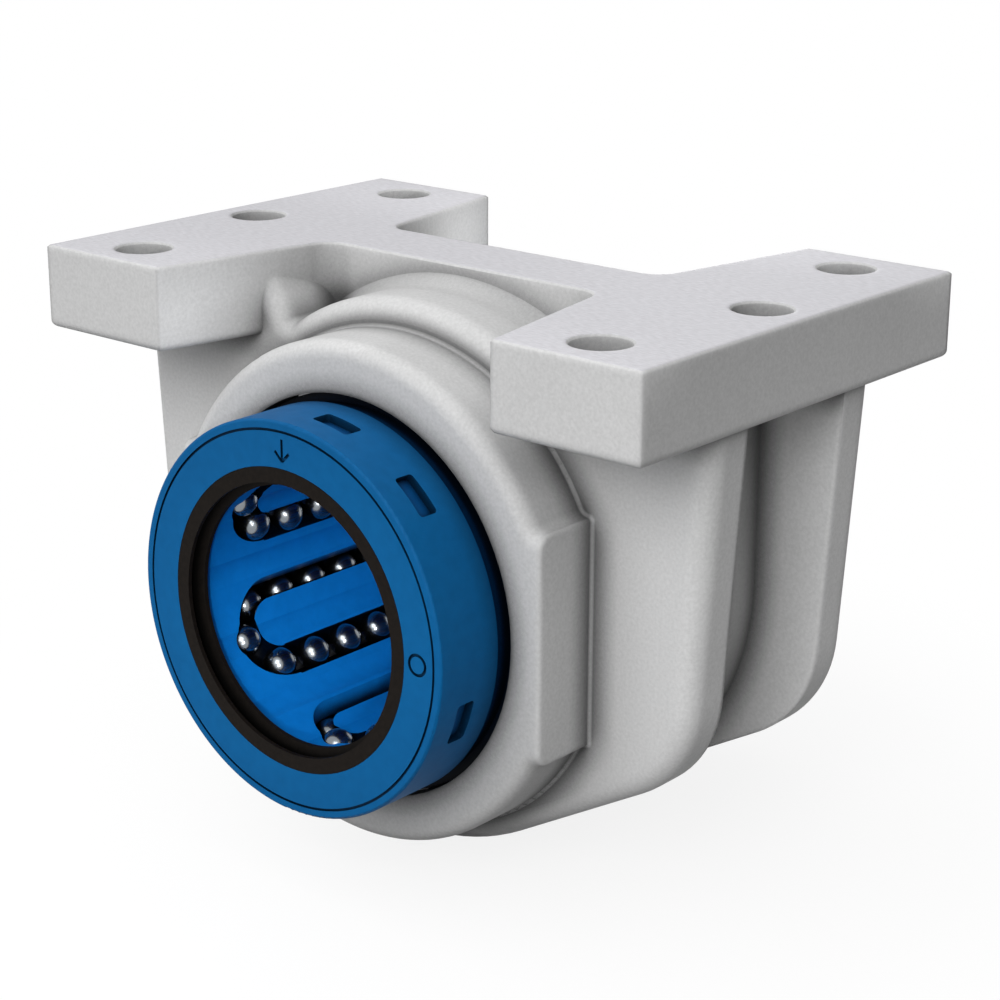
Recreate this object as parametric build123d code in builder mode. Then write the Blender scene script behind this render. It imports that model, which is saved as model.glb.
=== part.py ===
import os
from math import acos, cos, degrees, pi, radians, sin, sqrt

from build123d import *

os.makedirs("parts", exist_ok=True)

# Frame: origin on the bore axis at mid length, +Y along the bore, +Z up to the mounting face, millimetres.

# Driving dimensions of the standard bearing size
SHAFT_R = 15.0
BEARING_OD = 47.0
BEARING_LEN = 68.0
MOUNT_Z = 35.0
BORE_R = BEARING_OD / 2
HALF_LEN = BEARING_LEN / 2

# Flange with its H outline
FLANGE_W = 88.0
FLANGE_L = 57.5
FLANGE_T = 10.0
WEB_T = 10.6
NOTCH_AT_WEB = 20.4
NOTCH_AT_END = 24.85
NOTCH_CORNER_R = 3.0
FLANGE_CORNER_R = 0.7
BAR_CORNER_R = 0.4
FLANGE_UNDER_R = 0.9
TOP_CHAMFER = 0.25
WEB_FOOT_L = 3.0
WEB_FOOT_H = 1.3
BOLT_D = 6.6
CORNER_BOLT_TO_SIDE = 10.0
CORNER_BOLT_TO_END = 6.25
MIDDLE_BOLT_TO_SIDE = 6.0
BOLT_DX = FLANGE_W - 2 * CORNER_BOLT_TO_SIDE
BOLT_DY = FLANGE_L - 2 * CORNER_BOLT_TO_END
MIDDLE_BOLT_DX = FLANGE_W - 2 * MIDDLE_BOLT_TO_SIDE

# Barrel, transverse ribs and collars
BARREL_WALL = 8.7
SHOULDER_WALL = 9.0
BARREL_R = BORE_R + BARREL_WALL
SHOULDER_R = BORE_R + SHOULDER_WALL
SHOULDER_DROP = 3.0
RIB_FRONT_Y = 15.0
RIB_BACK_Y = 9.1
RIB_EDGE_R = 2.4
RIB_HALF_W = 41.3
RIB_DRAFT = 0.065
RIB_CORNER_R = 15.0
RIB_KEEL_ANGLE = 30.0
HORN_FOOT_X = 18.3
HORN_FOOT_Z = 26.6
HORN_SLOPE = 56.0
HORN_VALLEY_R = 0.8
COLLAR_TO_END = 10.25
COLLAR_FACE_Y = HALF_LEN - COLLAR_TO_END
COLLAR_R = 29.3
COLLAR_FLAT_X = 27.4
COLLAR_EDGE_R = 1.8
COLLAR_FOOT_R = 0.4
SIDE_LUG_HALF_H = 13.2
SIDE_LUG_ROOT_R = 1.5
SIDE_LUG_EDGE_R = 0.4

# Bearing insert
SEAT_CLEARANCE = 0.02
CAGE_BORE_R = 16.2
CAGE_R = 22.2
CAGE_NECK_R = 21.9
CAGE_NECK_L = 0.5
CAGE_SEAT_R = 23.3
CAGE_SEAT_INSET = 1.5
RING_R = 22.75
RING_SHELL_R = 21.64
RING_LEN = 9.0
RING_FACE_T = 3.0
RING_BACK_Y = HALF_LEN - RING_LEN
RING_WALL_Y = HALF_LEN - RING_FACE_T
RING_LINE_W = 0.3
RING_LINE_D = 0.35
PIECE_CLEARANCE = 0.04
SEAL_POCKET_R = 17.5
SEAL_FRONT_LIP_R = 15.7
SEAL_GROOVE_R = 16.9
SEAL_FRONT_LIP_T = 0.8
SEAL_GROOVE_L = 1.0
SEAL_LAND_L = 0.5

# Snap windows of the end rings
WINDOW_TO_END = 4.5
WINDOW_Y = HALF_LEN - WINDOW_TO_END
WINDOW_LEN = 2.6
WINDOW_W = 5.1
WINDOW_CORNER_R = 0.45
WINDOW_ANGLES = [80.0, 47.5, -19.0]
LUG_GAP = 0.12
LUG_R = 21.8
LUG_T = 0.7

# Ball circuits
BALL_D = 4.0
BALL_R = BALL_D / 2
BALL_RUN_CLEARANCE = 0.06
CIRCUITS = 6
CIRCUIT_START = 30.0
LOAD_OFFSET = 13.6
BALL_PITCH = 5.45
TURN_PITCHES = 2.5
START_SHARE = 0.75
FRONT_TURN_BALLS = 3
REAR_TURN_BALLS = 2
CHANNEL_GAP = 0.15
CHANNEL_R = BALL_R + CHANNEL_GAP
CAGE_END_WALL = 1.2
TURN_R = BALL_PITCH * TURN_PITCHES / pi
LOAD_R = SHAFT_R + BALL_R + BALL_RUN_CLEARANCE
RETURN_R = 18.96
LOAD_SLOT_W = 4.1
RETURN_SLOT_W = 2.2
FLUTES = 12
FLUTE_R = 3.0
FLUTE_D = 0.3

# As many balls as fit on the straight part of a row
STRAIGHT_ROOM = 2 * (RING_WALL_Y - CAGE_END_WALL - CHANNEL_R - TURN_R)
BALLS_STRAIGHT = int(STRAIGHT_ROOM / BALL_PITCH)
STRAIGHT = BALLS_STRAIGHT * BALL_PITCH

# Steel raceway plates
PLATE_GAP = 0.04
PLATE_W = 8.6
PLATE_LEN = STRAIGHT

PLATE_TOP_R = BORE_R - SEAT_CLEARANCE
UNDER_Z = MOUNT_Z - FLANGE_T

# Closeness for picking out edges and corners by their place
NEAR = 0.01

# Spacing of the two rows in the plane of a circuit gives the angle of the return row
ROW_GAP = 2 * TURN_R
row_cos = (LOAD_R**2 + RETURN_R**2 - ROW_GAP**2) / (2 * LOAD_R * RETURN_R)
ROW_ANGLE = degrees(acos(row_cos))


def facing_front(y):
    """Upright plane at y whose extrusions run towards the front, with sketch x = X and sketch y = Z."""
    return Plane(origin=(0, y, 0), x_dir=(1, 0, 0), z_dir=(0, -1, 0))


# Flange: one H outline extruded down from the mounting face
half_w = FLANGE_W / 2
half_l = FLANGE_L / 2
half_web = WEB_T / 2
with BuildPart() as flange:
    with BuildSketch(Plane.XY.offset(UNDER_Z)) as flange_outline:
        with BuildLine():
            Polyline(
                (-half_w, -half_l),
                (-NOTCH_AT_END, -half_l),
                (-NOTCH_AT_WEB, -half_web),
                (NOTCH_AT_WEB, -half_web),
                (NOTCH_AT_END, -half_l),
                (half_w, -half_l),
                (half_w, half_l),
                (NOTCH_AT_END, half_l),
                (NOTCH_AT_WEB, half_web),
                (-NOTCH_AT_WEB, half_web),
                (-NOTCH_AT_END, half_l),
                (-half_w, half_l),
                close=True,
            )
        make_face()
        points = flange_outline.vertices()
        fillet(points.filter_by(lambda v: abs(v.Y) < half_web + NEAR), NOTCH_CORNER_R)
        fillet(points.filter_by(lambda v: abs(v.X) > half_w - NEAR), FLANGE_CORNER_R)
        fillet(points.filter_by(lambda v: abs(abs(v.X) - NOTCH_AT_END) < NEAR), BAR_CORNER_R)
    extrude(amount=FLANGE_T)
    under = flange.faces().sort_by(Axis.Z)[0]
    rims = under.edges().filter_by(lambda e: abs(e.center().X) > NOTCH_AT_WEB)
    fillet(rims, FLANGE_UNDER_R)

# Outline of a transverse rib in the XZ plane: keel arc, sloped keel lines, round corners, drafted sides
keel = radians(RIB_KEEL_ANGLE)
keel_x = BARREL_R * sin(keel)
keel_z = -BARREL_R * cos(keel)
corner_x = (RIB_HALF_W * cos(keel) / RIB_DRAFT - BARREL_R) / (cos(keel) / RIB_DRAFT - sin(keel))
corner_z = (corner_x - RIB_HALF_W) / RIB_DRAFT
top_x = RIB_HALF_W + RIB_DRAFT * UNDER_Z
in_flange_x = top_x - FLANGE_UNDER_R
shoulder_top_z = MOUNT_Z - SHOULDER_DROP
horn_rise = shoulder_top_z - HORN_FOOT_Z
horn_x = HORN_FOOT_X + horn_rise / sin(radians(HORN_SLOPE)) * cos(radians(HORN_SLOPE))


# The horn ramp meets the shoulder arc where its line crosses that circle
ramp_dx = cos(radians(HORN_SLOPE))
ramp_dz = sin(radians(HORN_SLOPE))
ramp_b = HORN_FOOT_X * ramp_dx + HORN_FOOT_Z * ramp_dz
ramp_c = HORN_FOOT_X**2 + HORN_FOOT_Z**2 - SHOULDER_R**2
ramp_t = -ramp_b + sqrt(ramp_b**2 - ramp_c)
foot_x = HORN_FOOT_X + ramp_t * ramp_dx
foot_z = HORN_FOOT_Z + ramp_t * ramp_dz

with BuildPart() as rib_front:
    with BuildSketch(facing_front(-RIB_BACK_Y)) as rib_outline:
        with BuildLine():
            Line((foot_x, foot_z), (horn_x, shoulder_top_z))
            Line((horn_x, shoulder_top_z), (in_flange_x, shoulder_top_z))
            Line((in_flange_x, shoulder_top_z), (in_flange_x, UNDER_Z + FLANGE_UNDER_R))
            Line((in_flange_x, UNDER_Z + FLANGE_UNDER_R), (top_x, UNDER_Z))
            Line((top_x, UNDER_Z), (corner_x, corner_z))
            Line((corner_x, corner_z), (keel_x, keel_z))
            ThreePointArc((keel_x, keel_z), (0, -BARREL_R), (-keel_x, keel_z))
            Line((-keel_x, keel_z), (-corner_x, corner_z))
            Line((-corner_x, corner_z), (-top_x, UNDER_Z))
            Line((-top_x, UNDER_Z), (-in_flange_x, UNDER_Z + FLANGE_UNDER_R))
            Line((-in_flange_x, UNDER_Z + FLANGE_UNDER_R), (-in_flange_x, shoulder_top_z))
            Line((-in_flange_x, shoulder_top_z), (-horn_x, shoulder_top_z))
            Line((-horn_x, shoulder_top_z), (-foot_x, foot_z))
            ThreePointArc((-foot_x, foot_z), (0, SHOULDER_R), (foot_x, foot_z))
        make_face()
        corners = rib_outline.vertices().filter_by(lambda v: abs(abs(v.X) - corner_x) < NEAR and v.Y < 0)
        fillet(corners, RIB_CORNER_R)
        valleys = rib_outline.vertices().filter_by(lambda v: abs(abs(v.X) - foot_x) < NEAR and v.Y > 0)
        fillet(valleys, HORN_VALLEY_R)
    extrude(amount=RIB_FRONT_Y - RIB_BACK_Y)
    face = rib_front.faces().sort_by(Axis.Y)[0]
    rounded = face.edges().filter_by(
        lambda e: not (e.center().Z > UNDER_Z and abs(e.center().X) > horn_x - NEAR)
    )
    fillet(rounded, RIB_EDGE_R)


# Barrel between the ribs, with the same shoulders on top
with BuildPart() as barrel:
    with BuildSketch(facing_front(RIB_BACK_Y)) as barrel_outline:
        with BuildLine():
            Line((foot_x, foot_z), (horn_x, shoulder_top_z))
            Line((horn_x, shoulder_top_z), (BARREL_R, shoulder_top_z))
            Line((BARREL_R, shoulder_top_z), (BARREL_R, 0))
            ThreePointArc((BARREL_R, 0), (0, -BARREL_R), (-BARREL_R, 0))
            Line((-BARREL_R, 0), (-BARREL_R, shoulder_top_z))
            Line((-BARREL_R, shoulder_top_z), (-horn_x, shoulder_top_z))
            Line((-horn_x, shoulder_top_z), (-foot_x, foot_z))
            ThreePointArc((-foot_x, foot_z), (0, SHOULDER_R), (foot_x, foot_z))
        make_face()
        valleys = barrel_outline.vertices().filter_by(lambda v: abs(abs(v.X) - foot_x) < NEAR and v.Y > 0)
        fillet(valleys, HORN_VALLEY_R)
    extrude(amount=2 * RIB_BACK_Y)

# Collar round the bore: a disc cut flat at both sides, with a square lug on each flat
side_lug_x = sqrt(COLLAR_R**2 - SIDE_LUG_HALF_H**2)
with BuildPart() as collar_front:
    with BuildSketch(facing_front(-RIB_FRONT_Y + RIB_EDGE_R)) as collar_outline:
        Circle(COLLAR_R)
        Rectangle(2 * COLLAR_R, 2 * SIDE_LUG_HALF_H)
        Rectangle(2 * COLLAR_FLAT_X, 2 * COLLAR_R, mode=Mode.INTERSECT)
        roots = collar_outline.vertices().filter_by(lambda v: abs(abs(v.X) - side_lug_x) < NEAR)
        fillet(roots, SIDE_LUG_ROOT_R)
    extrude(amount=COLLAR_FACE_Y - RIB_FRONT_Y + RIB_EDGE_R)
    collar_face = collar_front.faces().sort_by(Axis.Y)[0]
    soft = collar_face.edges().filter_by(lambda e: abs(e.center().X) < COLLAR_FLAT_X - NEAR)
    fillet(soft, COLLAR_EDGE_R)
    collar_face = collar_front.faces().sort_by(Axis.Y)[0]
    crisp = collar_face.edges().filter_by(lambda e: abs(e.center().X) > COLLAR_FLAT_X - NEAR)
    fillet(crisp, SIDE_LUG_EDGE_R)

# Web across the middle of the flange, down to the barrel
with BuildPart() as web:
    with BuildSketch(Plane.XY.offset(BORE_R)):
        Rectangle(2 * NOTCH_AT_WEB, WEB_T)
    extrude(amount=MOUNT_Z - TOP_CHAMFER - BORE_R)

# Hollow foot of the web, where it runs out on the round shoulder
with BuildPart() as web_foot:
    with BuildSketch(Plane.XY):
        with BuildLine():
            Line((BORE_R, -half_web - WEB_FOOT_L), (SHOULDER_R, -half_web - WEB_FOOT_L))
            TangentArc(
                (SHOULDER_R, -half_web - WEB_FOOT_L),
                (SHOULDER_R + WEB_FOOT_H, -half_web),
                tangent=(0, 1),
            )
            Line((SHOULDER_R + WEB_FOOT_H, -half_web), (SHOULDER_R + WEB_FOOT_H, half_web))
            TangentArc(
                (SHOULDER_R, half_web + WEB_FOOT_L),
                (SHOULDER_R + WEB_FOOT_H, half_web),
                tangent=(0, -1),
            )
            Line((SHOULDER_R, half_web + WEB_FOOT_L), (BORE_R, half_web + WEB_FOOT_L))
            Line((BORE_R, half_web + WEB_FOOT_L), (BORE_R, -half_web - WEB_FOOT_L))
        make_face()
    revolve(axis=Axis.Y)
    with Locations((0, 0, MOUNT_Z / 2)):
        Box(2 * NOTCH_AT_WEB, 2 * RIB_BACK_Y, MOUNT_Z, mode=Mode.INTERSECT)



def at_collar_foot(edge):
    """True for an edge where a collar meets the face of its rib."""
    start = edge.position_at(0)
    at_face = abs(abs(edge.center().Y) - RIB_FRONT_Y) < NEAR
    in_disc = sqrt(start.X**2 + start.Z**2) < COLLAR_R + NEAR
    in_lug = abs(start.X) < COLLAR_FLAT_X + NEAR and abs(start.Z) < SIDE_LUG_HALF_H + NEAR
    return at_face and (in_disc or in_lug)


with BuildPart() as housing:
    add(flange.part)
    add(barrel.part)
    add(web.part)
    add(web_foot.part)
    add(rib_front.part)
    mirror(rib_front.part, about=Plane.XZ)
    add(collar_front.part)
    mirror(collar_front.part, about=Plane.XZ)
    fillet(housing.edges().filter_by(at_collar_foot), COLLAR_FOOT_R)
    with BuildSketch(facing_front(COLLAR_FACE_Y)):
        Circle(BORE_R)
    extrude(amount=2 * COLLAR_FACE_Y, mode=Mode.SUBTRACT)
    with BuildSketch(Plane.XY.offset(MOUNT_Z)):
        with GridLocations(BOLT_DX, BOLT_DY, 2, 2):
            Circle(BOLT_D / 2)
        with GridLocations(MIDDLE_BOLT_DX, 0, 2, 1):
            Circle(BOLT_D / 2)
    extrude(amount=-FLANGE_T - 2 * FLANGE_UNDER_R, mode=Mode.SUBTRACT)
    top_face = housing.faces().sort_by(Axis.Z)[-1]
    chamfer(top_face.edges(), TOP_CHAMFER)
housing.part.label = "housing"


# Circuit plane: the load row is nearest the shaft, the return row lies deeper in the cage
load_angle = radians(CIRCUIT_START + LOAD_OFFSET)
return_angle = load_angle - radians(ROW_ANGLE)
load_at = Vector(LOAD_R * cos(load_angle), 0, LOAD_R * sin(load_angle))
return_at = Vector(RETURN_R * cos(return_angle), 0, RETURN_R * sin(return_angle))
across = (return_at - load_at).normalized()
circuit_mid = (load_at + return_at) * 0.5
along = Vector(0, 1, 0)
inward = across.cross(along)
if inward.dot(circuit_mid) > 0:
    inward = inward * -1
circuit_plane = Plane(origin=circuit_mid, x_dir=along, z_dir=inward)
load_side = circuit_plane.y_dir.dot(across) * -1
SLOT_DEPTH = RETURN_R - SHAFT_R

# Channel of one circuit: a round tube along the loop and a narrower slot towards the shaft
with BuildPart() as channel:
    with BuildLine(circuit_plane) as loop:
        Line((-STRAIGHT / 2, TURN_R), (STRAIGHT / 2, TURN_R))
        ThreePointArc((STRAIGHT / 2, TURN_R), (STRAIGHT / 2 + TURN_R, 0), (STRAIGHT / 2, -TURN_R))
        Line((STRAIGHT / 2, -TURN_R), (-STRAIGHT / 2, -TURN_R))
        ThreePointArc((-STRAIGHT / 2, -TURN_R), (-STRAIGHT / 2 - TURN_R, 0), (-STRAIGHT / 2, TURN_R))
    start_at = circuit_plane.from_local_coords((0, TURN_R, 0))
    with BuildSketch(Plane(origin=start_at, x_dir=inward, z_dir=along)):
        Circle(CHANNEL_R)
    sweep(path=loop.wires()[0])
    with BuildSketch(circuit_plane):
        SlotCenterToCenter(STRAIGHT, 2 * TURN_R + RETURN_SLOT_W)
        SlotCenterToCenter(STRAIGHT, 2 * TURN_R - RETURN_SLOT_W, mode=Mode.SUBTRACT)
        with Locations((0, load_side * TURN_R)):
            Rectangle(STRAIGHT, LOAD_SLOT_W)
    extrude(amount=SLOT_DEPTH)

# Steel raceway plate over one load row, flat on the balls and round on the seat
plate_under_r = LOAD_R + BALL_R + PLATE_GAP
load_turn = -degrees(load_angle)
plate_place = Location((0, 0, 0), (0, load_turn, 0))
with BuildPart() as plate:
    with BuildSketch(Plane.XY) as plate_outline:
        with Locations((plate_under_r, 0)):
            Rectangle(PLATE_TOP_R - plate_under_r, PLATE_LEN, align=(Align.MIN, Align.CENTER))
    extrude(amount=PLATE_W / 2, both=True)
    with BuildSketch(facing_front(HALF_LEN)):
        Circle(PLATE_TOP_R)
    extrude(amount=BEARING_LEN, mode=Mode.INTERSECT)

with BuildPart() as plate_pocket:
    with BuildSketch(Plane.XY):
        with Locations((plate_under_r - PLATE_GAP, 0)):
            Rectangle(BORE_R - plate_under_r, PLATE_LEN + 2 * PLATE_GAP, align=(Align.MIN, Align.CENTER))
    extrude(amount=PLATE_W / 2 + PLATE_GAP, both=True)

# Snap windows sit at both ends and on both sides of the bore, and a lug of the cage fills each one
window_angles = WINDOW_ANGLES + [angle + 180 for angle in WINDOW_ANGLES]
window_depth = 2 * (RING_R - RING_SHELL_R)
window_planes = []
lug_planes = []
for angle in window_angles:
    outwards = Vector(cos(radians(angle)), 0, sin(radians(angle)))
    front = Vector(0, -WINDOW_Y, 0)
    window_planes.append(Plane(origin=outwards * RING_R + front, x_dir=along, z_dir=outwards))
    lug_planes.append(Plane(origin=outwards * LUG_R + front, x_dir=along, z_dir=outwards))
    mirrored = Vector(-cos(radians(angle)), 0, sin(radians(angle)))
    lug_planes.append(Plane(origin=mirrored * LUG_R - front, x_dir=along, z_dir=mirrored))

# Cage with six ball channels, plate pockets and snap lugs
spigot_r = RING_SHELL_R - PIECE_CLEARANCE
spigot_y = RING_WALL_Y - PIECE_CLEARANCE
shoulder_y = RING_BACK_Y - PIECE_CLEARANCE
neck_y = shoulder_y - CAGE_NECK_L
seat_y = COLLAR_FACE_Y - CAGE_SEAT_INSET
pocket_y = PLATE_LEN / 2 + PLATE_GAP
with BuildPart() as cage:
    with BuildSketch(Plane.XY):
        with BuildLine():
            Polyline(
                (CAGE_BORE_R, -spigot_y),
                (spigot_r, -spigot_y),
                (spigot_r, -shoulder_y),
                (CAGE_NECK_R, -shoulder_y),
                (CAGE_NECK_R, -neck_y),
                (CAGE_R, -neck_y),
                (CAGE_R, -seat_y),
                (CAGE_SEAT_R, -seat_y),
                (CAGE_SEAT_R, -pocket_y),
                (CAGE_R, -pocket_y),
                (CAGE_R, pocket_y),
                (CAGE_SEAT_R, pocket_y),
                (CAGE_SEAT_R, seat_y),
                (CAGE_R, seat_y),
                (CAGE_R, neck_y),
                (CAGE_NECK_R, neck_y),
                (CAGE_NECK_R, shoulder_y),
                (spigot_r, shoulder_y),
                (spigot_r, spigot_y),
                (CAGE_BORE_R, spigot_y),
                close=True,
            )
        make_face()
    revolve(axis=Axis.Y)
    with BuildSketch(*lug_planes):
        RectangleRounded(WINDOW_LEN - 2 * LUG_GAP, WINDOW_W - 2 * LUG_GAP, WINDOW_CORNER_R - LUG_GAP)
    extrude(amount=-LUG_T)
    with BuildSketch(facing_front(spigot_y)):
        with PolarLocations(CAGE_BORE_R + FLUTE_D - FLUTE_R, FLUTES):
            Circle(FLUTE_R)
    extrude(amount=2 * spigot_y, mode=Mode.SUBTRACT)
    for step in range(CIRCUITS):
        turned = -360 / CIRCUITS * step
        add(channel.part.rotate(Axis.Y, turned), mode=Mode.SUBTRACT)
        add(plate_pocket.part.rotate(Axis.Y, load_turn + turned), mode=Mode.SUBTRACT)
cage.part.label = "cage"

# End ring: face wall, shell over the cage end, seal pocket, windows, fine line and marks on the face
MARK_R = 19.35
MARK_D = 0.35
MARK_LINE = 0.35
RING_MARK_R = 1.3
ARROW_TOP = 20.8
ARROW_TIP = 18.3
ARROW_HEAD = 0.75
HEAD_ANGLE = 45.0
with BuildPart() as end_ring_front:
    with BuildSketch(Plane.XY):
        with BuildLine():
            Polyline(
                (SEAL_POCKET_R, -HALF_LEN),
                (RING_R, -HALF_LEN),
                (RING_R, -RING_BACK_Y),
                (RING_SHELL_R, -RING_BACK_Y),
                (RING_SHELL_R, -RING_WALL_Y),
                (SEAL_POCKET_R, -RING_WALL_Y),
                close=True,
            )
        make_face()
    revolve(axis=Axis.Y)
    rim = end_ring_front.edges().filter_by(GeomType.CIRCLE)
    rim = rim.filter_by(lambda e: abs(e.radius - RING_R) < NEAR and e.center().Y < -RING_WALL_Y)
    fillet(rim, RING_LINE_W)
    with BuildSketch(*window_planes):
        RectangleRounded(WINDOW_LEN, WINDOW_W, WINDOW_CORNER_R)
    extrude(amount=-window_depth, mode=Mode.SUBTRACT)
    with BuildSketch(facing_front(-HALF_LEN)):
        Circle(RING_SHELL_R + RING_LINE_W / 2)
        Circle(RING_SHELL_R - RING_LINE_W / 2, mode=Mode.SUBTRACT)
    extrude(amount=-RING_LINE_D, mode=Mode.SUBTRACT)
    with BuildSketch(facing_front(-HALF_LEN)):
        with Locations((MARK_R, 0)):
            Circle(RING_MARK_R)
            Circle(RING_MARK_R - MARK_LINE, mode=Mode.SUBTRACT)
        with Locations((0, (ARROW_TOP + ARROW_TIP) / 2)):
            Rectangle(MARK_LINE, ARROW_TOP - ARROW_TIP)
        with Locations((0, ARROW_TIP)):
            with Locations(
                Location((0, 0, 0), (0, 0, HEAD_ANGLE)),
                Location((0, 0, 0), (0, 0, -HEAD_ANGLE)),
            ):
                Rectangle(MARK_LINE, 2 * ARROW_HEAD, align=(Align.CENTER, Align.MIN))
    extrude(amount=-MARK_D, mode=Mode.SUBTRACT)
end_ring_front.part.label = "end_ring_front"

with BuildPart() as end_ring_rear:
    add(end_ring_front.part.rotate(Axis.Z, 180))
end_ring_rear.part.label = "end_ring_rear"

# Wiper seal with two lips, the inner one on the shaft
seal_r = SEAL_POCKET_R - PIECE_CLEARANCE
seal_back_y = RING_WALL_Y
front_lip_y = HALF_LEN - SEAL_FRONT_LIP_T
land_y = front_lip_y - SEAL_GROOVE_L
with BuildPart() as seal_front:
    with BuildSketch(Plane.XY):
        with BuildLine():
            Polyline(
                (seal_r, -HALF_LEN),
                (seal_r, -seal_back_y),
                (CAGE_BORE_R, -seal_back_y),
                (SHAFT_R, -land_y + SEAL_LAND_L),
                (SHAFT_R, -land_y),
                (SEAL_GROOVE_R, -land_y - SEAL_LAND_L),
                (SEAL_GROOVE_R, -front_lip_y),
                (SEAL_FRONT_LIP_R, -HALF_LEN + SEAL_LAND_L),
                (SEAL_FRONT_LIP_R, -HALF_LEN),
                close=True,
            )
        make_face()
    revolve(axis=Axis.Y)
seal_front.part.label = "seal_front"

with BuildPart() as seal_rear:
    mirror(seal_front.part, about=Plane.XZ)
seal_rear.part.label = "seal_rear"

# Ball positions of one circuit, at rest, as distances along the bore and across the circuit plane
turn_step = pi / TURN_PITCHES
straight_ys = [BALL_PITCH * (i + START_SHARE) - STRAIGHT / 2 for i in range(BALLS_STRAIGHT)]
rear_angles = [turn_step * (i + START_SHARE) for i in range(REAR_TURN_BALLS)]
front_angles = [turn_step * (i + 1 - START_SHARE) for i in range(FRONT_TURN_BALLS)]
load_points = [load_at + along * y for y in straight_ys]
return_points = [return_at + along * y for y in straight_ys]


def turn_point(angle, end):
    """Middle of a ball in a turn, at an angle from the load row, at the rear end (1) or front end (-1)."""
    sideways = across * (-TURN_R * cos(angle))
    reach = along * (end * (STRAIGHT / 2 + TURN_R * sin(angle)))
    return circuit_mid + sideways + reach


rear_points = [turn_point(angle, 1) for angle in rear_angles]
front_points = [turn_point(angle, -1) for angle in front_angles]

with BuildPart() as load_balls:
    with Locations(*load_points):
        Sphere(BALL_R)
with BuildPart() as return_balls:
    with Locations(*return_points):
        Sphere(BALL_R)
with BuildPart() as rear_turn_balls:
    with Locations(*rear_points):
        Sphere(BALL_R)
with BuildPart() as front_turn_balls:
    with Locations(*front_points):
        Sphere(BALL_R)

export_step(housing.part, "parts/housing.step")
export_step(cage.part, "parts/cage.step")
export_step(end_ring_front.part, "parts/end_ring_front.step")
export_step(end_ring_rear.part, "parts/end_ring_rear.step")
export_step(seal_front.part, "parts/seal_front.step")
export_step(seal_rear.part, "parts/seal_rear.step")

# The other circuits and plates are the first one turned round the bore
for step in range(CIRCUITS):
    turned = -360 / CIRCUITS * step
    number = step + 1
    plate_copy = plate.part.rotate(Axis.Y, load_turn + turned)
    plate_copy.label = f"raceway_plate_{number}"
    export_step(plate_copy, f"parts/raceway_plate_{number}.step")
    load_copy = load_balls.part.rotate(Axis.Y, turned)
    load_copy.label = f"load_row_{number}"
    export_step(load_copy, f"parts/load_row_{number}.step")
    return_copy = return_balls.part.rotate(Axis.Y, turned)
    return_copy.label = f"return_row_{number}"
    export_step(return_copy, f"parts/return_row_{number}.step")
    rear_copy = rear_turn_balls.part.rotate(Axis.Y, turned)
    rear_copy.label = f"rear_turn_{number}"
    export_step(rear_copy, f"parts/rear_turn_{number}.step")
    front_copy = front_turn_balls.part.rotate(Axis.Y, turned)
    front_copy.label = f"front_turn_{number}"
    export_step(front_copy, f"parts/front_turn_{number}.step")
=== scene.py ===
# %% [markdown]
# # Linear bearing block
# The solids of the bearing block come in as a frame: one casting, the blue bearing with its rings
# and seals, and the balls. New pieces could be modelled over them, but every visible shape of this
# object is rigid and already there. So this lesson only dresses the solids with surfaces that look
# like cast aluminium, moulded plastic, rubber and polished steel, and sets the camera, the lamps
# and the floor.

import math
from types import SimpleNamespace

import bpy
from mathutils import Matrix, Vector


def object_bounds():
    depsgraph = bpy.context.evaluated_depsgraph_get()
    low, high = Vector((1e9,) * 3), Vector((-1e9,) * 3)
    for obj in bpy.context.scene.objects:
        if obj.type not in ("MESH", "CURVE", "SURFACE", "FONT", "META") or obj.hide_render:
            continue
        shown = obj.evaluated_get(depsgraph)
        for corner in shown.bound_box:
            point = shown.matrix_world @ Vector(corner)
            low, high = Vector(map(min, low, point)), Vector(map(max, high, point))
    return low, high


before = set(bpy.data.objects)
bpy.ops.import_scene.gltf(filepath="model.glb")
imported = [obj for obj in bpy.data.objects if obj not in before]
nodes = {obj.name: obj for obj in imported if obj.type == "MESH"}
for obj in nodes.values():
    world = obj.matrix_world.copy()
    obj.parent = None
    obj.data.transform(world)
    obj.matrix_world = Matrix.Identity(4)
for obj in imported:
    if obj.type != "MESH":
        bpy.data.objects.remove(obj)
cad_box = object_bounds()

# %% [markdown]
# ## Camera
# The photograph looks at the ring from the front, a little from the right and from above. A camera
# could be placed by eye, but then the render and the photograph never lie over each other. Here its
# place and its lens were solved from the flange corners and the six holes. Its three axes are made
# as vectors and put into a matrix, which takes them as they are, without any angles to work out.

# %% Camera
SENSOR_MM = 36.0
LENS_MM = 84.99
NEAREST = 0.01
FURTHEST = 20.0
CAMERA_PLACE = (0.17406548, -0.20277949, 0.09320295)
CAMERA_LOOKS = (-0.61533493, 0.72411845, -0.31147296)
CAMERA_ROLL = math.radians(0.162)

ahead = Vector(CAMERA_LOOKS).normalized()
level_side = ahead.cross(Vector((0, 0, 1))).normalized()
level_head = level_side.cross(ahead)
right = level_side * math.cos(CAMERA_ROLL) + level_head * math.sin(CAMERA_ROLL)
up = level_head * math.cos(CAMERA_ROLL) - level_side * math.sin(CAMERA_ROLL)
camera_data = bpy.data.cameras.new("camera")
camera_data.sensor_width = SENSOR_MM
camera_data.lens = LENS_MM
camera_data.clip_start = NEAREST
camera_data.clip_end = FURTHEST
camera = bpy.data.objects.new("camera", camera_data)
bpy.context.scene.collection.objects.link(camera)
turn = Matrix((right, up, -ahead)).transposed().to_4x4()
camera.matrix_world = Matrix.Translation(CAMERA_PLACE) @ turn
bpy.context.scene.camera = camera
print("camera lens", round(camera_data.lens, 2), "mm")

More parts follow.
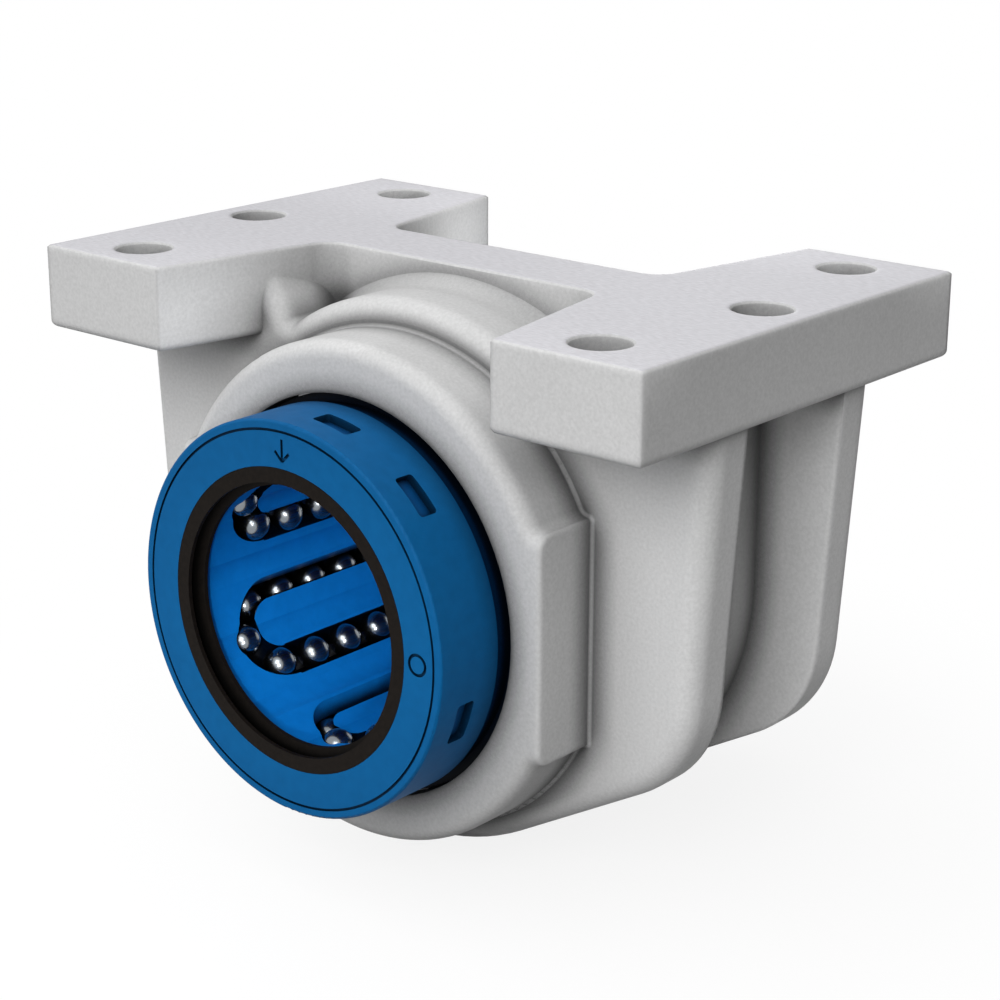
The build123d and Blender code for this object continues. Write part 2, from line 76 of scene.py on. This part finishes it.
# %% [markdown]
# ## World
# A studio block like this is lit by one large soft source above the front, so tops and fronts are
# bright and right sides are clearly darker. Area lamps could do it, but each leaves a shadow with a
# border. The world leaves none. Its strength grows with the direction, from nothing behind and
# below to its full value above the front. The dot product of a direction with the direction of the
# light says in one value how near the two are, so that value sets the strength.

# %% World: light from above the front
LIGHT_COMES_FROM = (-0.36, -0.64, 0.68)
DARK_AT = -0.24
FULL_AT = 1.0
FULL_STRENGTH = 1.67
WHITE = (1.0, 1.0, 1.0, 1.0)

world = bpy.data.worlds.new("studio")
bpy.context.scene.world = world
world.use_nodes = True
world_tree = world.node_tree
world_tree.nodes.clear()


def graded(tree, value, start, end, low, high):
    """A value that goes from one level to another while its input goes from start to end."""
    steps = tree.nodes.new("ShaderNodeMapRange")
    steps.inputs["From Min"].default_value = start
    steps.inputs["From Max"].default_value = end
    steps.inputs["To Min"].default_value = low
    steps.inputs["To Max"].default_value = high
    tree.links.new(value, steps.inputs["Value"])
    return steps.outputs["Result"]


direction = world_tree.nodes.new("ShaderNodeTexCoord")
nearness = world_tree.nodes.new("ShaderNodeVectorMath")
nearness.operation = "DOT_PRODUCT"
nearness.inputs[1].default_value = LIGHT_COMES_FROM
world_tree.links.new(direction.outputs["Generated"], nearness.inputs[0])
strength = graded(
    world_tree, nearness.outputs["Value"], start=DARK_AT, end=FULL_AT, low=0.0, high=FULL_STRENGTH
)
graded_light = world_tree.nodes.new("ShaderNodeBackground")
graded_light.inputs["Color"].default_value = WHITE
world_tree.links.new(strength, graded_light.inputs["Strength"])
print("world strength up to", FULL_STRENGTH)

# %% [markdown]
# The background of the photograph is plain white. A brighter world would give that too, but it
# would wash out the casting. So white is kept for the rays that see a thing directly, in a mirror
# or through glass, and Light Path tells those rays apart. The floor needs the same choice later,
# so it is made by two helpers.

# %% Helpers: white for some rays
def seen_directly(tree):
    """One for rays that see a thing directly, in a mirror or through glass, else zero."""
    path = tree.nodes.new("ShaderNodeLightPath")
    seen = path.outputs["Is Camera Ray"]
    for ray in ("Is Glossy Ray", "Is Transmission Ray"):
        either = tree.nodes.new("ShaderNodeMath")
        either.operation = "MAXIMUM"
        tree.links.new(seen, either.inputs[0])
        tree.links.new(path.outputs[ray], either.inputs[1])
        seen = either.outputs["Value"]
    return seen


def mixed(tree, factor, at_zero, at_one):
    """Two shaders in one: the first where the factor is zero, the second where it is one."""
    mix = tree.nodes.new("ShaderNodeMixShader")
    tree.links.new(factor, mix.inputs["Fac"])
    tree.links.new(at_zero, mix.inputs[1])
    tree.links.new(at_one, mix.inputs[2])
    return mix.outputs["Shader"]


print("seen_directly and mixed ready")

# %% [markdown]
# In a studio the background is a sheet of white paper. A large white plane behind the block could
# stand in for it, but it would light the block as well. A world of strength one is exactly white in
# the picture, and it gives the matt surfaces no light, because their rays meet the graded light.

# %% World: white background
WHITE_STRENGTH = 1.0

white_back = world_tree.nodes.new("ShaderNodeBackground")
white_back.inputs["Color"].default_value = WHITE
white_back.inputs["Strength"].default_value = WHITE_STRENGTH
world_shader = mixed(
    world_tree,
    seen_directly(world_tree),
    at_zero=graded_light.outputs["Background"],
    at_one=white_back.outputs["Background"],
)
world_out = world_tree.nodes.new("ShaderNodeOutputWorld")
world_tree.links.new(world_shader, world_out.inputs["Surface"])
print("world nodes", len(world_tree.nodes))

# %% [markdown]
# ## Lamps
# The world alone leaves the rounded edges a little flat and the rear dark. A soft lamp in front
# brightens the edges, and a weak one behind keeps the rear readable. A sun or a point lamp would
# draw hard shadows, so both are square area lamps, which light from a whole surface.

# %% Soft lamps
MIDDLE = (0.0, 0.0, 0.0)


def hang_lamp(name, lamp_data, place, target):
    """Hangs a lamp at a place and turns it towards a target."""
    lamp = bpy.data.objects.new(name, lamp_data)
    bpy.context.scene.collection.objects.link(lamp)
    aim = Vector(target) - Vector(place)
    lamp.rotation_euler = aim.to_track_quat("-Z", "Y").to_euler()
    lamp.location = place
    print("lamp", name, "power", round(lamp_data.energy, 2))


def soft_lamp(name, place, size, power):
    """One square area lamp that looks at the middle of the block."""
    lamp_data = bpy.data.lights.new(name, "AREA")
    lamp_data.shape = "SQUARE"
    lamp_data.size = size
    lamp_data.energy = power
    hang_lamp(name, lamp_data, place, MIDDLE)


soft_lamp("front_above", place=(0.22, -0.50, 0.34), size=0.30, power=1.25)
soft_lamp("behind", place=(-0.34, 0.52, 0.02), size=0.10, power=1.2)

# %% [markdown]
# Four places stay too dark in soft light: the bore with its cage and balls, the two inner sides of
# the left bar, and the gap between the ribs. More light from the world would spoil the rest, so
# each gets a narrow spot. The one for the bore shines in through the ring, two graze over the right
# bar, and one looks between the ribs. Their soft rims leave no border on the casting.

# %% Narrow lamps
RIM_SOFTNESS = 0.9


def narrow_lamp(name, place, target, angle, radius, power):
    """One spot lamp with a soft rim that looks at a target."""
    lamp_data = bpy.data.lights.new(name, "SPOT")
    lamp_data.spot_size = math.radians(angle)
    lamp_data.spot_blend = RIM_SOFTNESS
    lamp_data.shadow_soft_size = radius
    lamp_data.energy = power
    hang_lamp(name, lamp_data, place, target)


narrow_lamp(
    "into_bore",
    place=(0.268, -0.345, 0.08), target=(-0.006, -0.028, -0.003), angle=4.6, radius=0.02, power=9.0,
)
narrow_lamp(
    "left_bar",
    place=(0.45, -0.07, 0.155), target=(-0.0243, -0.027, 0.0285), angle=2.8, radius=0.01, power=7.5,
)
narrow_lamp(
    "far_bar",
    place=(0.45, 0.06, 0.155), target=(-0.0236, 0.0225, 0.0305), angle=2.6, radius=0.01, power=11.0,
)
narrow_lamp(
    "rib_gap",
    place=(0.26, -0.37, 0.00), target=(0.043, 0.0091, 0.000), angle=6.0, radius=0.03, power=5.6,
)

# %% [markdown]
# ## Floor
# The block lies on nothing that can be seen in the photograph. A scene with no floor would leave it
# floating from other sides, so a large plane lies just under its lowest point.

# %% Floor: the plane
FLOOR_SIZE = 6.0
FLOOR_DROP = 0.0005

lowest = cad_box[0][2]
bpy.ops.object.select_all(action="DESELECT")
bpy.ops.mesh.primitive_plane_add(size=FLOOR_SIZE, location=(0, 0, lowest - FLOOR_DROP))
floor = bpy.context.object
floor.name = "floor"
print("floor under", round(lowest, 4))

# %% [markdown]
# The floor is white to the camera and catches a faint shadow near the block. Plain white paint
# would catch it too, but further off it would turn grey and show a horizon. So with the distance
# from the middle the paint turns into an even white light, in which no horizon shows.

# %% Floor: white to the camera
PAINT = (0.95, 0.95, 0.95, 1.0)
FADE_FROM = 0.06
FADE_TO = 0.10
WHITE_NEAR = 0.86
WHITE_FAR = 1.0

floor_look = bpy.data.materials.new("pale_floor")
floor_look.use_nodes = True
floor_tree = floor_look.node_tree
floor_tree.nodes.clear()
shadow_catcher = floor_tree.nodes.new("ShaderNodeBsdfDiffuse")
shadow_catcher.inputs["Color"].default_value = PAINT
far_white = floor_tree.nodes.new("ShaderNodeEmission")
far_white.inputs["Strength"].default_value = WHITE_STRENGTH
floor_place = floor_tree.nodes.new("ShaderNodeTexCoord")
far_off = floor_tree.nodes.new("ShaderNodeVectorMath")
far_off.operation = "LENGTH"
floor_tree.links.new(floor_place.outputs["Object"], far_off.inputs[0])
share_of_white = graded(
    floor_tree,
    far_off.outputs["Value"],
    start=FADE_FROM,
    end=FADE_TO,
    low=WHITE_NEAR,
    high=WHITE_FAR,
)
seen_floor = mixed(
    floor_tree,
    share_of_white,
    at_zero=shadow_catcher.outputs["BSDF"],
    at_one=far_white.outputs["Emission"],
)
print("floor turns white from", FADE_FROM, "to", FADE_TO)

# %% [markdown]
# A white floor throws much light up at the casting, but in the photograph its undersides are dark.
# A darker paint would cure that and spoil the white. So only the rays that don't see the floor
# directly meet a dark paint, and the camera still sees the white one.

# %% Floor: dark to all other rays
QUIET_PAINT = (0.13, 0.13, 0.13, 1.0)

quiet_floor = floor_tree.nodes.new("ShaderNodeBsdfDiffuse")
quiet_floor.inputs["Color"].default_value = QUIET_PAINT
floor_shader = mixed(
    floor_tree, seen_directly(floor_tree), at_zero=quiet_floor.outputs["BSDF"], at_one=seen_floor
)
floor_out = floor_tree.nodes.new("ShaderNodeOutputMaterial")
floor_tree.links.new(floor_shader, floor_out.inputs["Surface"])
floor.data.materials.append(floor_look)
print("floor nodes", len(floor_tree.nodes))

# %% [markdown]
# ## Finishes
# A finish could come from photographs of real surfaces wrapped round the pieces, but those need
# flat maps of every piece and stay at one scale. Here each finish is built from nodes that read
# Object coordinates, so it runs on over edges and stays sharp close up. This helper makes what all
# finishes share: a Principled shader and a coordinate node.

# %% Start of a finish
NO_METAL = 0.0
ALL_METAL = 1.0


def new_finish(name, color, metal, rough, shine):
    """A material with a Principled shader, and the parts of it that later cells link to."""
    look = bpy.data.materials.new(name)
    look.use_nodes = True
    tree = look.node_tree
    shader = tree.nodes["Principled BSDF"]
    shader.inputs["Base Color"].default_value = (*color, 1.0)
    shader.inputs["Metallic"].default_value = metal
    shader.inputs["Roughness"].default_value = rough
    shader.inputs["Specular IOR Level"].default_value = shine
    place = tree.nodes.new("ShaderNodeTexCoord").outputs["Object"]
    return SimpleNamespace(look=look, tree=tree, shader=shader, place=place)


print("new_finish ready, metal", NO_METAL, "for plastic and", ALL_METAL, "for steel")

# %% [markdown]
# Blasted grain, orange peel and ground steel are all fine patterns that never repeat. A drawn
# pattern would repeat, but noise doesn't. It gives a value at each point, and a ramp turns that
# value into a tone between a dark and a light one. A helper for each keeps the cells below short.

# %% Helpers: noise and ramp
def noise(tree, place, scale, detail, roughness):
    """Noise in the coordinates that it is given."""
    cells = tree.nodes.new("ShaderNodeTexNoise")
    cells.inputs["Scale"].default_value = scale
    cells.inputs["Detail"].default_value = detail
    cells.inputs["Roughness"].default_value = roughness
    tree.links.new(place, cells.inputs["Vector"])
    return cells.outputs["Fac"]


def ramp(tree, value, start, end, dark, light):
    """A tone that goes from dark to light while a value goes from start to end."""
    steps = tree.nodes.new("ShaderNodeValToRGB")
    first, last = steps.color_ramp.elements
    first.position = start
    last.position = end
    first.color = (*dark, 1.0)
    last.color = (*light, 1.0)
    tree.links.new(value, steps.inputs["Fac"])
    return steps.outputs["Color"]


print("noise and ramp ready")

# %% [markdown]
# The casting is pale grey and matt, with the fine grain that blasting leaves, and seen from further
# off it is faintly cloudy. A single noise could give either, but not both, so a fine one makes the
# grain and a coarse one the clouds, and the two tones are multiplied. The casting isn't set to
# metal, because a blasted skin scatters light as stone does and mirrors nothing.

# %% Cast aluminium: grain and clouds
GRAIN_DARK, GRAIN_LIGHT = 0.51, 0.59
CLOUD_DARK, CLOUD_LIGHT = 0.97, 1.0
CAST_MIDDLE = 0.55


def grey(level):
    """A grey of one level."""
    return (level, level, level)


cast = new_finish("cast_aluminium", grey(CAST_MIDDLE), metal=NO_METAL, rough=0.6, shine=0.2)
grain = noise(cast.tree, cast.place, scale=2600.0, detail=2.0, roughness=0.6)
cloud = noise(cast.tree, cast.place, scale=90.0, detail=3.0, roughness=0.5)
grain_tone = ramp(
    cast.tree, grain, start=0.30, end=0.72, dark=grey(GRAIN_DARK), light=grey(GRAIN_LIGHT)
)
cloud_tone = ramp(
    cast.tree, cloud, start=0.30, end=0.70, dark=grey(CLOUD_DARK), light=grey(CLOUD_LIGHT)
)
blasted_tone = cast.tree.nodes.new("ShaderNodeMix")
blasted_tone.data_type = "RGBA"
blasted_tone.blend_type = "MULTIPLY"
blasted_tone.inputs["Factor"].default_value = 1.0
cast.tree.links.new(grain_tone, blasted_tone.inputs["A"])
cast.tree.links.new(cloud_tone, blasted_tone.inputs["B"])
print("cast aluminium nodes", len(cast.tree.nodes))

# %% [markdown]
# The hollows and creases of the casting get painted shade: their colour is darkened as if by the
# shadow that falls there. Dark paint on chosen faces would end in a hard line. Ambient Occlusion
# measures how closed in each point is, and fades by itself. It is read twice, with a long reach for
# the painted shade in the hollows beside the web and the ring, and with a short one for the
# creases.

# %% Cast aluminium: painted shade in hollows and creases
OCCLUSION_SAMPLES = 8
HOLLOW_REACH = 0.009
HOLLOW_SHADE_TONE = 0.68
CREASE_REACH = 0.0038
CREASE_SHADE_TONE = 0.15


def openness(tree, reach):
    """One where nothing is near within the reach, and less the more a point is closed in."""
    occlusion = tree.nodes.new("ShaderNodeAmbientOcclusion")
    occlusion.samples = OCCLUSION_SAMPLES
    occlusion.inputs["Distance"].default_value = reach
    return occlusion.outputs["AO"]


def dimmed(tree, tone, factor):
    """A tone times a factor."""
    product = tree.nodes.new("ShaderNodeVectorMath")
    product.operation = "SCALE"
    tree.links.new(tone, product.inputs[0])
    tree.links.new(factor, product.inputs["Scale"])
    return product.outputs["Vector"]


# Painted shade: the casting's tone falls where it is closed in, over a long reach for hollows and a
# short one for creases.
painted_hollow_shade = graded(
    cast.tree, openness(cast.tree, HOLLOW_REACH), start=0.3, end=1.0, low=HOLLOW_SHADE_TONE, high=1.0
)
painted_crease_shade = graded(
    cast.tree, openness(cast.tree, CREASE_REACH), start=0.5, end=1.0, low=CREASE_SHADE_TONE, high=1.0
)
painted_shade_levels = cast.tree.nodes.new("ShaderNodeMath")
painted_shade_levels.operation = "MULTIPLY"
cast.tree.links.new(painted_hollow_shade, painted_shade_levels.inputs[0])
cast.tree.links.new(painted_crease_shade, painted_shade_levels.inputs[1])
shaded_cast_tone = dimmed(cast.tree, blasted_tone.outputs["Result"], painted_shade_levels.outputs["Value"])
print("hollows down to", HOLLOW_SHADE_TONE, "and creases down to", CREASE_SHADE_TONE)

# %% [markdown]
# The mounting face is milled after casting, which leaves short strokes and a colder tone. It could
# have a material of its own on its faces, but the frame's meshes stay as they are. So the casting's
# material finds the face by its height, and puts a noise there that is stretched into strokes.

# %% Cast aluminium: milled mounting face
MILLED_ABOVE = 0.03497
STROKE_TURN = math.radians(28)
STROKE_SCALE = (900.0, 4200.0, 1.0)
MILLED_DARK = (0.48, 0.475, 0.50)
MILLED_LIGHT = (0.60, 0.595, 0.625)

split = cast.tree.nodes.new("ShaderNodeSeparateXYZ")
cast.tree.links.new(cast.place, split.inputs["Vector"])
on_top = cast.tree.nodes.new("ShaderNodeMath")
on_top.operation = "GREATER_THAN"
on_top.inputs[1].default_value = MILLED_ABOVE
cast.tree.links.new(split.outputs["Z"], on_top.inputs[0])
stretched = cast.tree.nodes.new("ShaderNodeMapping")
stretched.inputs["Rotation"].default_value = (0.0, 0.0, STROKE_TURN)
stretched.inputs["Scale"].default_value = STROKE_SCALE
cast.tree.links.new(cast.place, stretched.inputs["Vector"])
strokes = noise(cast.tree, stretched.outputs["Vector"], scale=1.0, detail=3.0, roughness=0.5)
milled_tone = ramp(
    cast.tree, strokes, start=0.30, end=0.70, dark=MILLED_DARK, light=MILLED_LIGHT
)
skin_tone = cast.tree.nodes.new("ShaderNodeMix")
skin_tone.data_type = "RGBA"
cast.tree.links.new(on_top.outputs["Value"], skin_tone.inputs["Factor"])
cast.tree.links.new(shaded_cast_tone, skin_tone.inputs["A"])
cast.tree.links.new(milled_tone, skin_tone.inputs["B"])
cast.tree.links.new(skin_tone.outputs["Result"], cast.shader.inputs["Base Color"])
print("milled above", round(MILLED_ABOVE * 1000, 2), "mm")

# %% [markdown]
# No edge of a casting is sharp, and its skin is faintly rough. Cutting a bevel into the mesh would
# show the same, but the frame's meshes aren't changed. The Bevel node rounds only the shading, by a
# millimetre along every edge, and the grain gives a fine relief on top of it.

# %% Cast aluminium: edges and relief
EDGE_RADIUS = 0.0010
EDGE_SAMPLES = 6


def relief(tree, shader, height, strength, distance):
    """Fine relief from a height value."""
    bumps = tree.nodes.new("ShaderNodeBump")
    bumps.inputs["Strength"].default_value = strength
    bumps.inputs["Distance"].default_value = distance
    tree.links.new(height, bumps.inputs["Height"])
    tree.links.new(bumps.outputs["Normal"], shader.inputs["Normal"])
    return bumps


cast_relief = relief(cast.tree, cast.shader, grain, strength=0.12, distance=0.0001)
soft_edge = cast.tree.nodes.new("ShaderNodeBevel")
soft_edge.samples = EDGE_SAMPLES
soft_edge.inputs["Radius"].default_value = EDGE_RADIUS
cast.tree.links.new(soft_edge.outputs["Normal"], cast_relief.inputs["Normal"])
print("cast aluminium nodes", len(cast.tree.nodes))

# %% [markdown]
# The end rings are moulded in a strong blue, nearly matt, with a faint orange peel in the surface.
# Their windows, marks and corners get painted shade. One flat blue would look like a
# drawing, so a noise moves both the tone and the relief a little, and painted shade lowers the tone
# where the plastic is closed in, which the same measure as on the casting gives.

# %% Blue plastic
PLASTIC_SHINE = 0.08
PEEL_SCALE = 700.0
SHADE_CLOSED_AT = 0.42
SHADE_OPEN_AT = 0.88


def blue_finish(name, dark, light, rough, reach, low):
    """Blue plastic between two tones, darkened by painted shade to a low level where it is closed
    in.
    """
    finish = new_finish(name, light, metal=NO_METAL, rough=rough, shine=PLASTIC_SHINE)
    peel = noise(finish.tree, finish.place, scale=PEEL_SCALE, detail=3.0, roughness=0.5)
    moulded_tone = ramp(finish.tree, peel, start=0.25, end=0.75, dark=dark, light=light)
    # Painted shade: the tone falls to the low level where the plastic is closed in.
    level = graded(
        finish.tree, openness(finish.tree, reach), start=SHADE_CLOSED_AT, end=SHADE_OPEN_AT, low=low, high=1.0
    )
    finish.tone = dimmed(finish.tree, moulded_tone, level)
    finish.tree.links.new(finish.tone, finish.shader.inputs["Base Color"])
    relief(finish.tree, finish.shader, peel, strength=0.04, distance=0.0001)
    print(name, "nodes", len(finish.tree.nodes))
    return finish


RING_DARK = (0.001, 0.081, 0.230)
RING_LIGHT = (0.002, 0.094, 0.262)
ring = blue_finish("blue_ring", RING_DARK, RING_LIGHT, rough=0.55, reach=0.006, low=0.12)

# %% [markdown]
# The cage is a brighter blue inside the bore, and further out, in its ball channels and behind the
# windows, it gets painted shade that darkens it. Two materials would need the mesh cut in two. The
# distance from the bore's axis, measured across it without the part along Y, tells the two places
# apart in a single material.

# %% Cage plastic: painted shade further out
CAGE_DARK = (0.002, 0.160, 0.54)
CAGE_LIGHT = (0.003, 0.186, 0.61)
UNSHADED_WITHIN = 0.0166
FULL_SHADE_BEYOND = 0.0190
PAINTED_SHADE_SHARE = 0.38

cage = blue_finish("blue_cage", CAGE_DARK, CAGE_LIGHT, rough=0.50, reach=0.005, low=0.02)
# Painted shade: beyond a distance from the bore's axis the cage's tone falls, as in its shaded
# channels and windows.
across = cage.tree.nodes.new("ShaderNodeVectorMath")
across.operation = "MULTIPLY"
across.inputs[1].default_value = (1.0, 0.0, 1.0)
cage.tree.links.new(cage.place, across.inputs[0])
from_axis = cage.tree.nodes.new("ShaderNodeVectorMath")
from_axis.operation = "LENGTH"
cage.tree.links.new(across.outputs["Vector"], from_axis.inputs[0])
painted_shade_share = graded(
    cage.tree,
    from_axis.outputs["Value"],
    start=UNSHADED_WITHIN,
    end=FULL_SHADE_BEYOND,
    low=1.0,
    high=PAINTED_SHADE_SHARE,
)
cage.tone = dimmed(cage.tree, cage.tone, painted_shade_share)
cage.tree.links.new(cage.tone, cage.shader.inputs["Base Color"])
print("cage clean within", UNSHADED_WITHIN, "and dull beyond", FULL_SHADE_BEYOND)

# %% [markdown]
# The wiper seals are black rubber with a slight brown cast and a dull surface, and the groove
# behind the lip looks nearly black in its shade. A pure black would swallow the lip's shape, so the
# rubber keeps a very dark brown with a fine noise in it, and painted shade darkens only the closed
# places towards black.

# %% Seal rubber
RUBBER_MIDDLE = (0.008, 0.007, 0.006)
RUBBER_DARK = (0.005, 0.0038, 0.003)
RUBBER_LIGHT = (0.009, 0.0068, 0.0054)
FOLD_REACH = 0.004
FOLD_SHADE_TONE = 0.05

rubber = new_finish("seal_rubber", RUBBER_MIDDLE, metal=NO_METAL, rough=0.6, shine=0.06)
skin = noise(rubber.tree, rubber.place, scale=1500.0, detail=3.0, roughness=0.6)
rubber_tone = ramp(rubber.tree, skin, start=0.3, end=0.7, dark=RUBBER_DARK, light=RUBBER_LIGHT)
# Painted shade: the rubber's tone falls towards black where it is closed in.
painted_fold_shade = graded(
    rubber.tree, openness(rubber.tree, FOLD_REACH), start=0.45, end=0.95, low=FOLD_SHADE_TONE, high=1.0
)
shaded_rubber_tone = dimmed(rubber.tree, rubber_tone, painted_fold_shade)
rubber.tree.links.new(shaded_rubber_tone, rubber.shader.inputs["Base Color"])
relief(rubber.tree, rubber.shader, skin, strength=0.12, distance=0.0002)
print("rubber nodes", len(rubber.tree.nodes))

# %% [markdown]
# The balls are hardened and polished steel. They look dark inside the bore, because they mostly
# mirror the dark rubber and the blue plastic, with a small bright spot from the lamp. A perfect
# mirror would look like glass, so a noise moves the roughness a little, as a film of oil does.

# %% Ball steel
BALL_COLOR = (0.24, 0.26, 0.28)
BALL_SMOOTH, BALL_OILY = 0.16, 0.26
STEEL_SHINE = 0.5

ball = new_finish("ball_steel", BALL_COLOR, metal=ALL_METAL, rough=0.18, shine=STEEL_SHINE)
smear = noise(ball.tree, ball.place, scale=900.0, detail=2.0, roughness=0.5)
ball_rough = graded(ball.tree, smear, start=0.0, end=1.0, low=BALL_SMOOTH, high=BALL_OILY)
ball.tree.links.new(ball_rough, ball.shader.inputs["Roughness"])
print("ball steel nodes", len(ball.tree.nodes))

# %% [markdown]
# The raceway plates lie hidden between the cage and the casting, and are ground steel. They could
# stay plain, since nobody sees them here, but the part may be opened elsewhere. A fine noise in the
# tone is enough for a ground surface.

# %% Plate steel
PLATE_MIDDLE = (0.45, 0.45, 0.46)
PLATE_DARK = (0.38, 0.38, 0.39)
PLATE_LIGHT = (0.5, 0.5, 0.51)

plate = new_finish("plate_steel", PLATE_MIDDLE, metal=ALL_METAL, rough=0.3, shine=STEEL_SHINE)
grind = noise(plate.tree, plate.place, scale=1200.0, detail=2.0, roughness=0.6)
plate_tone = ramp(plate.tree, grind, start=0.3, end=0.7, dark=PLATE_DARK, light=PLATE_LIGHT)
plate.tree.links.new(plate_tone, plate.shader.inputs["Base Color"])
print("plate steel nodes", len(plate.tree.nodes))

# %% [markdown]
# ## Dressing
# Each node of the frame now gets its finish. That could be a list of all the nodes, but the start
# of a node's name already tells what it is made of, so a short table of starts does for all.

# %% Dress the nodes
FINISH_BY_START = {
    "housing": cast,
    "cage": cage,
    "end_ring": ring,
    "seal": rubber,
    "raceway_plate": plate,
    "load_row": ball,
    "return_row": ball,
    "rear_turn": ball,
    "front_turn": ball,
}
for name, node in nodes.items():
    for start, finish in FINISH_BY_START.items():
        if name.startswith(start):
            node.data.materials.clear()
            node.data.materials.append(finish.look)
print("dressed", len(nodes), "nodes")

# %% [markdown]
# ## View
# Blender's usual view transform softens bright tones as film does, but then a colour no longer
# renders as it is written, so the plain one is set.

# %% View settings
bpy.context.scene.view_settings.view_transform = "Standard"
